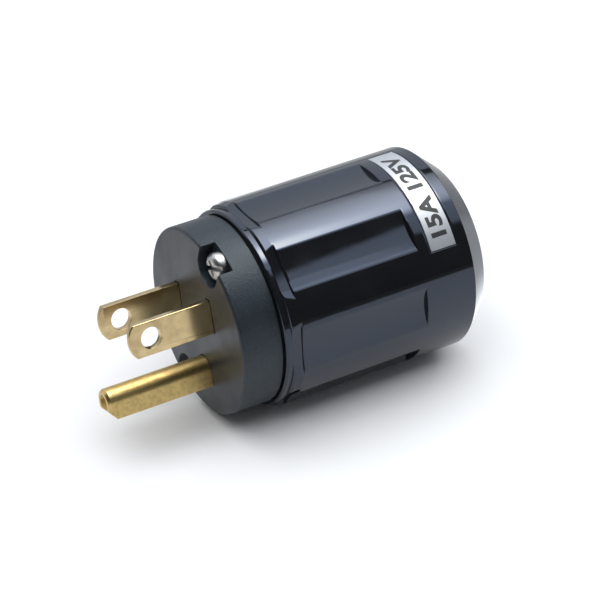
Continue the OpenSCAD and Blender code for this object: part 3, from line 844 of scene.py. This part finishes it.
    def rings(self):
        """All rings of the wall's grid."""
        s = self.s
        cavity = self.r - s.wall
        wiring = cavity - s.shoulder_step
        boss_end = self.shoulder_x + s.boss_over
        shapes = [(x, r, self.outside) for x, r in self.profile()]
        shapes += [
            (self.bay_x1, s.entry_r, self.round), (self.bay_x1, 0, self.bay), (self.bay_x0, 0, self.bay),
            (self.bay_x0, wiring, self.round), (boss_end + HAIR, wiring, self.round),
            (boss_end, wiring, self.boss), (self.shoulder_x + HAIR, wiring, self.boss),
            (self.shoulder_x, cavity, self.boss), (self.boss_x, cavity, self.boss),
            (self.boss_x - HAIR, cavity, self.round),
        ]
        angles = self.angles()
        for x, r, shape in shapes:
            yield [polar(x, shape(a, x, r), a) for a in (self.shifted(a, x, r) for a in angles)]


class PlateForm:
    """Place of the plate on the housing's round, from its solid."""

    def __init__(self, s):
        low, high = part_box("nameplate")
        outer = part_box("housing_shell")[1].y
        self.r = outer
        self.plate_x0, self.plate_x1 = low.x, high.x
        self.arc0, self.arc1 = -asin(high.y / outer), asin(-low.y / outer)
        self.floor = min(v.co.yz.length for v in frame["nodes"]["nameplate"].data.vertices)
        self.x0, self.x1 = low.x - s.gap, high.x + s.gap
        self.turn0, self.turn1 = self.arc0 - s.gap / outer, self.arc1 + s.gap / outer

    def distance(self, angle, x, r):
        """Distance from the plate's pocket along the surface; less than 0 inside it."""
        middle = (self.turn0 + self.turn1) / 2
        angle = wrapped(angle - middle) + middle
        along = max(self.x0 - x, x - self.x1)
        round_it = max(self.turn0 - angle, angle - self.turn1) * r
        if along < 0 and round_it < 0:
            return max(along, round_it)
        return hypot(max(along, 0.0), max(round_it, 0.0))


def turned_cutter(bm, steps, place, sides=64):
    """Adds a stepped round cutter along Z: steps are (z, radius) from end to end."""
    turns = [tau * i / sides for i in range(sides)]
    rings = [[place @ Vector((r * cos(a), r * sin(a), z)) for a in turns] for z, r in steps]
    join_rings(bm, rings, True)


class PLUG_OT_housing(bpy.types.Operator):
    """Builds the gloss housing with its flats, plate pocket, cable entry and screw holes"""

    bl_idname = "plug.housing"
    bl_label = "Housing"

    def execute(self, context):
        s = context.scene.plug_housing
        form = HousingForm(s, context.scene.plug_plate)
        blank = join_rings(bmesh.new(), form.rings(), False)
        shell = add_object("housing_blank", mesh_from(blank, "housing_blank", pi))
        cutter = add_object("hole_cutter", self.holes(s, form))
        cut = shell.modifiers.new("holes", "BOOLEAN")
        cut.object, cut.solver = cutter, "EXACT"
        shown = shell.evaluated_get(context.evaluated_depsgraph_get())
        bm = bmesh.new()
        bm.from_mesh(shown.data)
        for spare in (shell, cutter):
            bpy.data.meshes.remove(spare.data)
        add_piece("housing", mesh_from(bm, "housing", radians(38)), "housing_shell")
        return {"FINISHED"}

    @staticmethod
    def holes(s, form):
        """Cutter for the insert holes and the counterbored holes of the cord screws."""
        bm = bmesh.new()
        over = MM  # reach of a cutter past the wall that it cuts
        for node in ("upper_insert", "lower_insert"):
            low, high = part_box(node)
            r = (high.y - low.y) / 2
            place = Matrix.Translation((0, (low.y + high.y) / 2, (low.z + high.z) / 2)) @ Matrix.Rotation(
                pi / 2, 4, "Y")
            turned_cutter(bm, [(form.front - over, r), (high.x, r)], place)
        for node in ("cord_screw_upper", "cord_screw_lower"):
            low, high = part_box(node)
            head = (high.x - low.x) / 2
            middle = (low + high) / 2
            reach = [(v.co.y, (v.co - middle).xz.length) for v in frame["nodes"][node].data.vertices]
            seat = min(y for y, r in reach if r > 0.9 * head)
            shank = max(r for y, r in reach if y < seat - over)
            place = Matrix.Translation((middle.x, 0, middle.z)) @ Matrix.Rotation(-pi / 2, 4, "X")
            turned_cutter(bm, [(form.bay_y1 - over, shank + s.hole_clear), (seat, shank + s.hole_clear),
                               (seat, head + s.hole_clear), (form.r + over, head + s.hole_clear)], place)
        return bare_mesh(bm, "hole_cutter")


class PLUG_OT_carrier(bpy.types.Operator):
    """Builds the matte carrier with its contact slots and screw notches"""

    bl_idname = "plug.carrier"
    bl_label = "Carrier"

    def execute(self, context):
        rounded_piece("carrier", "front_carrier", context.scene.plug_carrier.edge_round)
        return {"FINISHED"}


class PLUG_OT_contacts(bpy.types.Operator):
    """Builds the two blades and the folded ground pin"""

    bl_idname = "plug.contacts"
    bl_label = "Contacts"

    def execute(self, context):
        s = context.scene.plug_contacts
        rounded_piece("live_contact", "live_blade", s.blade_round, rim=s.rim_round)
        rounded_piece("neutral_contact", "neutral_blade", s.blade_round, rim=s.rim_round)
        rounded_piece("ground_contact", "ground_pin", s.pin_round,
                      reshape=lambda bm: coined_nose(bm, s), finish_name="pin_brass")
        return {"FINISHED"}


class PLUG_OT_screws(bpy.types.Operator):
    """Builds the assembly screws and the cord screws"""

    bl_idname = "plug.screws"
    bl_label = "Screws"

    def execute(self, context):
        s = context.scene.plug_contacts
        for node in ("upper_assembly_screw", "lower_assembly_screw", "cord_screw_upper", "cord_screw_lower"):
            rounded_piece(node + ".plated", node, s.screw_round, 2)
        return {"FINISHED"}


class PLUG_OT_nameplate(bpy.types.Operator):
    """Builds the brushed plate on its arc and prints the rating on it"""

    bl_idname = "plug.nameplate"
    bl_label = "Nameplate"

    def execute(self, context):
        s = context.scene.plug_plate
        form = PlateForm(s)
        mesh = mesh_from(self.plate(s, form), "silver_plate", radians(60))
        even_normals(add_piece("silver_plate", mesh, "nameplate"))
        letters = self.print_mesh(context, s, form)
        add_piece("rating_print", letters, "nameplate", "plate_ink", replaced=False)
        return {"FINISHED"}

    @staticmethod
    def plate(s, form):
        """Bent strip with rounded upper edges."""
        r, top = s.edge_round, form.r
        profile = [(form.plate_x0, form.floor)]
        profile += corner_arc((form.plate_x0, form.floor), (form.plate_x0, top), (form.plate_x1, top), r, 4)
        profile += corner_arc((form.plate_x0, top), (form.plate_x1, top), (form.plate_x1, form.floor), r, 4)
        profile += [(form.plate_x1, form.floor)]
        inset = [0.0, 0.08, 0.3, 0.6, 1.0]
        count = 48
        arcs = [form.arc0 + d * r / top for d in inset]
        arcs += [form.arc0 + (form.arc1 - form.arc0) * i / count for i in range(1, count)]
        arcs += [form.arc1 - d * r / top for d in reversed(inset)]
        rings = []
        for arc in arcs:
            fall = edge_dip(min(arc - form.arc0, form.arc1 - arc) * top, r)
            rings.append([polar(x, min(radius, top - fall), arc) for x, radius in profile])
        return join_rings(bmesh.new(), rings, True)

    @staticmethod
    def print_mesh(context, s, form):
        """Letters bent on to the plate, reading from its lower end up, with their feet to the rear."""
        text = bpy.data.curves.new("rating", "FONT")
        text.body, text.align_y = s.rating, "CENTER"
        text.size = s.letter_h / CAPITAL
        text.extrude, text.offset = s.ink_t / 2, s.letter_bold
        letters = add_object("rating_text", text)
        bm = bmesh.new()
        bm.from_mesh(letters.evaluated_get(context.evaluated_depsgraph_get()).to_mesh())
        bpy.data.curves.remove(text)
        bmesh.ops.remove_doubles(bm, verts=bm.verts, dist=2 * WELD)
        low = min(v.co.x for v in bm.verts)
        high = max(v.co.x for v in bm.verts)
        middle_y = (min(v.co.y for v in bm.verts) + max(v.co.y for v in bm.verts)) / 2
        step = 0.5 * MM
        for i in range(1, ceil((high - low) / step)):
            cut_across(bm, low + i * step)
        for v in bm.verts:
            angle = form.arc1 - (s.margin + (v.co.x - low) * s.print_len / (high - low)) / form.r
            place = (form.plate_x0 + form.plate_x1) / 2 - (v.co.y - middle_y)
            v.co = polar(place, form.r + s.ink_t / 2 + v.co.z, angle)
        bmesh.ops.recalc_face_normals(bm, faces=bm.faces)
        return mesh_from(bm, "rating_print", radians(40))


class PLUG_OT_cord_clamp(bpy.types.Operator):
    """Builds the two cord jaws behind the cable entry"""

    bl_idname = "plug.cord_clamp"
    bl_label = "Cord clamp"

    def execute(self, context):
        for node in ("cord_jaw_seated", "cord_jaw_drawn"):
            rounded_piece(node + ".moulded", node, context.scene.plug_carrier.edge_round, 2)
        return {"FINISHED"}


class PLUG_OT_inside(bpy.types.Operator):
    """Gives the pieces inside the plug their finishes"""

    bl_idname = "plug.inside"
    bl_label = "Inside"

    def execute(self, context):
        for part in frame["record"]["subparts"]:
            node = frame["nodes"][part["node"]]
            if not node.hide_render:
                for slot in node.material_slots:
                    slot.material = finish(part["material_slot"])
        return {"FINISHED"}


class PLUG_OT_stage(bpy.types.Operator):
    """Sets the floor, the softbox, the white room and the camera"""

    bl_idname = "plug.stage"
    bl_label = "Stage"

    def execute(self, context):
        s = context.scene.plug_stage
        self.floor(s)
        self.softbox(s)
        self.sky(s)
        self.room(context, s)
        self.camera(context, s)
        context.scene.view_settings.view_transform = "Standard"
        return {"FINISHED"}

    @staticmethod
    def sheet(name, size, place):
        """Flat stage sheet of that size."""
        bm = bmesh.new()
        bmesh.ops.create_grid(bm, x_segments=4, y_segments=4, size=0.5)
        bmesh.ops.scale(bm, vec=(*size, 1), verts=bm.verts)
        material = bpy.data.materials.new(name)
        material.use_nodes = True
        made = add_object(name, bare_mesh(bm, name), material)
        made.location = place
        return made, Nodes(material.node_tree)

    def floor(self, s):
        """White floor that keeps the plug's shadow; its brightness in reflections is set apart."""
        size, cloud = 6.0, 0.4
        low, high = CAD_BOX
        _, n = self.sheet("floor", (size, size), (0, 0, low.z))
        place = n.place()
        x, y, _ = n.axes(place)
        seen, gloss = n.ray("Camera"), n.ray("Glossy")
        clouds = n.ramp(n.noise(place, cloud), 0.3, 0.7, 0.99, 1.0)
        # Painted light and shade, in reflections only: the floor is painted darker far to the front and
        # behind the plug, and lighter just past the plug's rear end.
        near = n.ramp(y, -1.05 * s.floor_end, -0.95 * s.floor_end, 0.1, 1.0)
        behind = n.ramp(y, 1.5 * high.z, 4 * high.z, 1.0, s.floor_back)
        past = x - high.x
        full, falls, ends = 3 * MM, 8 * MM, 38 * MM  # course of the added brightness past the rear end
        close = n.ramp(past, 0.0, full) * n.ramp(past, falls, ends, 1.0, 0.0)
        rear = close * n.ramp(y, low.y, 0.7 * low.y) * s.floor_rear
        mirrored = near * behind * (rear + 1) * s.floor_gloss
        bright = (s.floor + seen * (s.floor_seen - s.floor) + gloss * (mirrored - s.floor)) * clouds
        paper = n.node("ShaderNodeBsdfDiffuse", None, {"Color": n.grow(tuple(s.floor_tint), bright)})
        far = seen * n.ramp((x ** 2.0 + y ** 2.0) ** 0.5, s.floor_white, 1.5 * s.floor_white)
        n.output(n.node("ShaderNodeMixShader", None, {0: far, 1: paper, 2: n.glow(shade(WHITE))}))

    def softbox(self, s):
        """Softbox overhead: brighter to its front, with a hot spot and a dark frame at two ends."""
        box, n = self.sheet("softbox", s.box_size, s.box_place)
        box.visible_camera = box.visible_diffuse = False
        x, y, _ = n.axes(n.place())
        end, half = (part / 2 for part in s.box_size)
        base = n.ramp(y, half - s.box_rise, half, s.box_front, s.box_rear)
        aside, away = (((axis - (place - middle)) / spread) ** 2.0 for axis, place, middle, spread
                       in zip((x, y), s.hot_place, s.box_place, s.hot_size))
        hot = ((aside + away) * -0.5).exp()
        fade = n.ramp(y, s.box_skirt - half, s.box_skirt + s.box_fade - half)
        side_w, side_full = 75 * MM, 50 * MM  # the side's width, and where it is at its dimmest
        side = n.ramp(x, end - side_w, end - side_full, 1.0, s.box_side)
        post = (1 - (x < end - s.box_post)) * (1 - (y < half / 4))
        cloth = (1 - post) * (y < half - s.box_frame) * side
        light = (base + hot * s.hot) * (s.box_dim + fade * (1 - s.box_dim)) * cloth
        tone = n.mix(hot, n.mix(fade, shade(s.room_tint), shade(WHITE)), shade(s.hot_tint))
        n.output(n.glow(n.grow(tone, light)))

    def sky(self, s):
        """Wide light overhead for matte surfaces; reflections show the softbox alone."""
        sky, n = self.sheet("sky", s.sky_size, s.sky_place)
        sky.visible_camera = sky.visible_glossy = False
        n.output(n.glow(shade(WHITE), s.sky))

    @staticmethod
    def room(context, s):
        """White room, dark on the camera's side in reflections."""
        world = bpy.data.worlds.new("room")
        world.use_nodes = True
        world.cycles.sampling_method = "NONE"
        context.scene.world = world
        n = Nodes(world.node_tree)
        x, y, z = n.axes(n.node("ShaderNodeTexCoord", out="Generated"))
        dark, light, soft = -0.17, 0.03, 0.03  # borders of the dark side, and half its upper edge's blur
        side = n.ramp(y + x * s.flag_turn, dark, light, 1.0, 0.0)
        flag = side * n.ramp(z + x * s.flag_lean, s.flag_top - soft, s.flag_top + soft, 1.0, 0.0)
        walls = s.room + z * z * s.room_top
        mirrored = n.grow(tuple(s.room_tint), (1 - flag * s.flag_dark) * walls)
        matte = n.grow(WHITE, s.fill + n.ramp(x, 0.2, 0.9) * s.fill_side)
        lit = n.mix(n.ray("Camera"), n.mix(n.ray("Glossy"), matte, mirrored), shade(WHITE))
        n.node("ShaderNodeOutputWorld", None, {
            "Surface": n.node("ShaderNodeBackground", None, {"Color": lit})})

    @staticmethod
    def camera(context, s):
        """Camera at the photograph's viewing angle."""
        lens = bpy.data.cameras.new("camera")
        lens.lens, lens.sensor_width, lens.clip_start = s.lens, 36.0, 0.01
        made = add_object("camera", lens)
        flat = cos(s.elevation)
        back = Vector((sin(s.azimuth) * flat, -cos(s.azimuth) * flat, sin(s.elevation)))
        made.location = Vector(s.aim) + back * s.distance
        made.rotation_mode = "QUATERNION"
        made.rotation_quaternion = (-back).to_track_quat("-Z", "Y") @ Quaternion((0, 0, 1), s.roll)
        context.scene.camera = made


OPERATORS = (
    PLUG_OT_housing, PLUG_OT_carrier, PLUG_OT_contacts, PLUG_OT_screws, PLUG_OT_nameplate,
    PLUG_OT_cord_clamp, PLUG_OT_inside, PLUG_OT_stage,
)
SETTINGS = {
    "plug_housing": PlugHousingSettings,
    "plug_carrier": PlugCarrierSettings,
    "plug_contacts": PlugContactSettings,
    "plug_plate": PlugPlateSettings,
    "plug_stage": PlugStageSettings,
}


class PLUG_PT_pieces(bpy.types.Panel):
    """Lists the plug's settings and the operators that build it"""

    bl_idname = "PLUG_PT_pieces"
    bl_label = "Mains Plug"
    bl_space_type = "VIEW_3D"
    bl_region_type = "UI"
    bl_category = "Plug"

    def draw(self, context):
        for name, group in SETTINGS.items():
            column = self.layout.box().column()
            column.label(text=group.__doc__)
            for key in group.__annotations__:
                column.prop(getattr(context.scene, name), key)
        for operator in OPERATORS:
            self.layout.operator(operator.bl_idname)


def register():
    for group in SETTINGS.values():
        bpy.utils.register_class(group)
    for name, group in SETTINGS.items():
        setattr(bpy.types.Scene, name, bpy.props.PointerProperty(type=group))
    for kind in (*OPERATORS, PLUG_PT_pieces):
        bpy.utils.register_class(kind)


def unregister():
    for kind in reversed((*OPERATORS, PLUG_PT_pieces)):
        bpy.utils.unregister_class(kind)
    for name in SETTINGS:
        delattr(bpy.types.Scene, name)
    for group in reversed(SETTINGS.values()):
        bpy.utils.unregister_class(group)


def main():
    register()
    for operator in OPERATORS:
        getattr(bpy.ops.plug, operator.bl_idname.partition(".")[2])()


if __name__ == "__main__":
    main()
